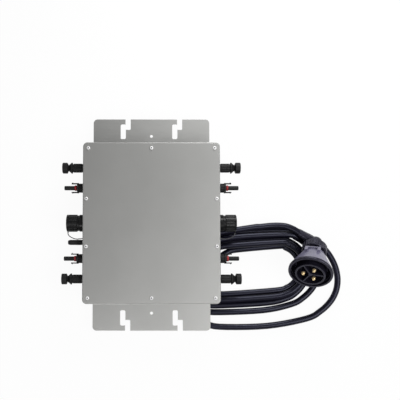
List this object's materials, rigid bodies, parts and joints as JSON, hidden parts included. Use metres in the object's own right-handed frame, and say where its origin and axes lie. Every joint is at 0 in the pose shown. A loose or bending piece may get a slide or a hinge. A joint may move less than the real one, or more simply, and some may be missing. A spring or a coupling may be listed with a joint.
{
  "type": "micro inverter",
  "caption": "Flat aluminium micro inverter on a finned heat sink with slotted mounting flanges, DC connectors and capped AC ports on both sides, and a coiled AC lead with a pin coupler.",
  "frame": {"origin": "middle of the heat sink on the surface it rests on", "axes": "+Z out of the cover, +Y to the upper flange, +X to the side of the AC lead"},
  "size_m": [0.488, 0.3707, 0.0949],
  "materials": {
    "sink_aluminium": "extruded",
    "zinc_steel": "zinc plated",
    "case_aluminium": "anodised",
    "cover_aluminium": "satin anodised",
    "flange_aluminium": "satin",
    "black_rubber": "matte",
    "red_rubber": "matte",
    "black_plastic": "moulded",
    "tether_rubber": "matte",
    "cable_sheath": "smooth sheath",
    "brass": "turned",
    "dark_nylon": "moulded",
    "grey_nylon": "moulded",
    "board_laminate": "solder mask",
    "ferrite": "sintered",
    "capacitor_sleeve": "shrink sleeve",
    "epoxy": "moulded"
  },
  "bodies": {
    "case": {"heat_sink": "sink_aluminium", "heat_sink_screws": "zinc_steel", "case_tray": "case_aluminium", "cover_gasket": "black_rubber", "cover_plate": "cover_aluminium", "cover_screws": "zinc_steel", "bracket_top": "flange_aluminium", "bracket_bottom": "flange_aluminium", "bracket_rivets": "zinc_steel", "dc_socket_left_upper": "black_plastic", "dc_socket_left_lower": "black_plastic", "dc_socket_right_upper": "black_plastic", "dc_socket_right_lower": "black_plastic", "dc_plug_left_upper": "black_plastic", "dc_plug_left_lower": "black_plastic", "dc_plug_right_upper": "black_plastic", "dc_plug_right_lower": "black_plastic", "dc_seal_rings": "red_rubber", "dc_contacts": "brass", "panel_seals": "black_rubber", "panel_nuts": "black_plastic", "ac_port_left": "black_plastic", "ac_port_right": "black_plastic", "cap_tether_left": "tether_rubber", "cap_tether_right": "tether_rubber", "tether_eyelets": "black_plastic", "antenna_base": "black_plastic", "antenna_sleeve": "black_plastic", "lead_elbow": "black_plastic", "lead_gland_nut": "black_plastic", "ac_lead_coil": "cable_sheath", "ac_lead_tail": "cable_sheath", "coupler_body": "dark_nylon", "coupler_nut": "dark_nylon", "coupler_insert": "dark_nylon", "coupler_pins": "brass", "main_board": "board_laminate", "board_standoffs": "zinc_steel", "transformers": "ferrite", "capacitors": "capacitor_sleeve", "power_transistors": "epoxy"},
    "ring_left": {"cap_ring_left": "black_plastic"},
    "cap_left": {"ac_cap_left": "black_plastic", "cap_seal_left": "black_rubber"},
    "ring_right": {"cap_ring_right": "black_plastic"},
    "cap_right": {"ac_cap_right": "black_plastic", "cap_seal_right": "black_rubber"},
    "latch_left_upper_a": {"dc_latch_left_upper_a": "black_plastic"},
    "latch_left_upper_b": {"dc_latch_left_upper_b": "black_plastic"},
    "latch_left_lower_a": {"dc_latch_left_lower_a": "black_plastic"},
    "latch_left_lower_b": {"dc_latch_left_lower_b": "black_plastic"},
    "latch_right_upper_a": {"dc_latch_right_upper_a": "black_plastic"},
    "latch_right_upper_b": {"dc_latch_right_upper_b": "black_plastic"},
    "latch_right_lower_a": {"dc_latch_right_lower_a": "black_plastic"},
    "latch_right_lower_b": {"dc_latch_right_lower_b": "black_plastic"},
    "bell": {"coupler_bell": "grey_nylon"}
  },
  "joints": [
    {"name": "cap_pull_left", "type": "slide", "parent": "case", "child": "ring_left", "axis": [-1, 0, 0], "range_m": [0, 0.016], "deforming": ["cap_tether_left"]},
    {"name": "cap_turn_left", "type": "hinge", "parent": "ring_left", "child": "cap_left", "pos_m": [-0.135, 0, 0.044], "axis": [-1, 0, 0], "range_deg": [0, 90]},
    {"name": "cap_pull_right", "type": "slide", "parent": "case", "child": "ring_right", "axis": [1, 0, 0], "range_m": [0, 0.016], "deforming": ["cap_tether_right"]},
    {"name": "cap_turn_right", "type": "hinge", "parent": "ring_right", "child": "cap_right", "pos_m": [0.135, 0, 0.044], "axis": [1, 0, 0], "range_deg": [0, 90]},
    {"name": "latch_squeeze_left_upper_a", "type": "hinge", "parent": "case", "child": "latch_left_upper_a", "pos_m": [-0.1264, 0.0683, 0.044], "axis": [0, 0, 1], "range_deg": [0, 8], "stiffness_Nm_per_rad": 0.05},
    {"name": "latch_squeeze_left_upper_b", "type": "hinge", "parent": "case", "child": "latch_left_upper_b", "pos_m": [-0.1264, 0.0531, 0.044], "axis": [0, 0, -1], "range_deg": [0, 8], "stiffness_Nm_per_rad": 0.05},
    {"name": "latch_squeeze_left_lower_a", "type": "hinge", "parent": "case", "child": "latch_left_lower_a", "pos_m": [-0.1264, -0.0531, 0.044], "axis": [0, 0, 1], "range_deg": [0, 8], "stiffness_Nm_per_rad": 0.05},
    {"name": "latch_squeeze_left_lower_b", "type": "hinge", "parent": "case", "child": "latch_left_lower_b", "pos_m": [-0.1264, -0.0683, 0.044], "axis": [0, 0, -1], "range_deg": [0, 8], "stiffness_Nm_per_rad": 0.05},
    {"name": "latch_squeeze_right_upper_a", "type": "hinge", "parent": "case", "child": "latch_right_upper_a", "pos_m": [0.1264, 0.0683, 0.044], "axis": [0, 0, -1], "range_deg": [0, 8], "stiffness_Nm_per_rad": 0.05},
    {"name": "latch_squeeze_right_upper_b", "type": "hinge", "parent": "case", "child": "latch_right_upper_b", "pos_m": [0.1264, 0.0531, 0.044], "axis": [0, 0, 1], "range_deg": [0, 8], "stiffness_Nm_per_rad": 0.05},
    {"name": "latch_squeeze_right_lower_a", "type": "hinge", "parent": "case", "child": "latch_right_lower_a", "pos_m": [0.1264, -0.0531, 0.044], "axis": [0, 0, -1], "range_deg": [0, 8], "stiffness_Nm_per_rad": 0.05},
    {"name": "latch_squeeze_right_lower_b", "type": "hinge", "parent": "case", "child": "latch_right_lower_b", "pos_m": [0.1264, -0.0683, 0.044], "axis": [0, 0, 1], "range_deg": [0, 8], "stiffness_Nm_per_rad": 0.05},
    {"name": "bell_turn", "type": "hinge", "parent": "case", "child": "bell", "pos_m": [0.2825, -0.0447, 0.03253], "axis": [-0.29, -0.7362, 0.6115], "range_deg": [0, 45]}
  ]
}
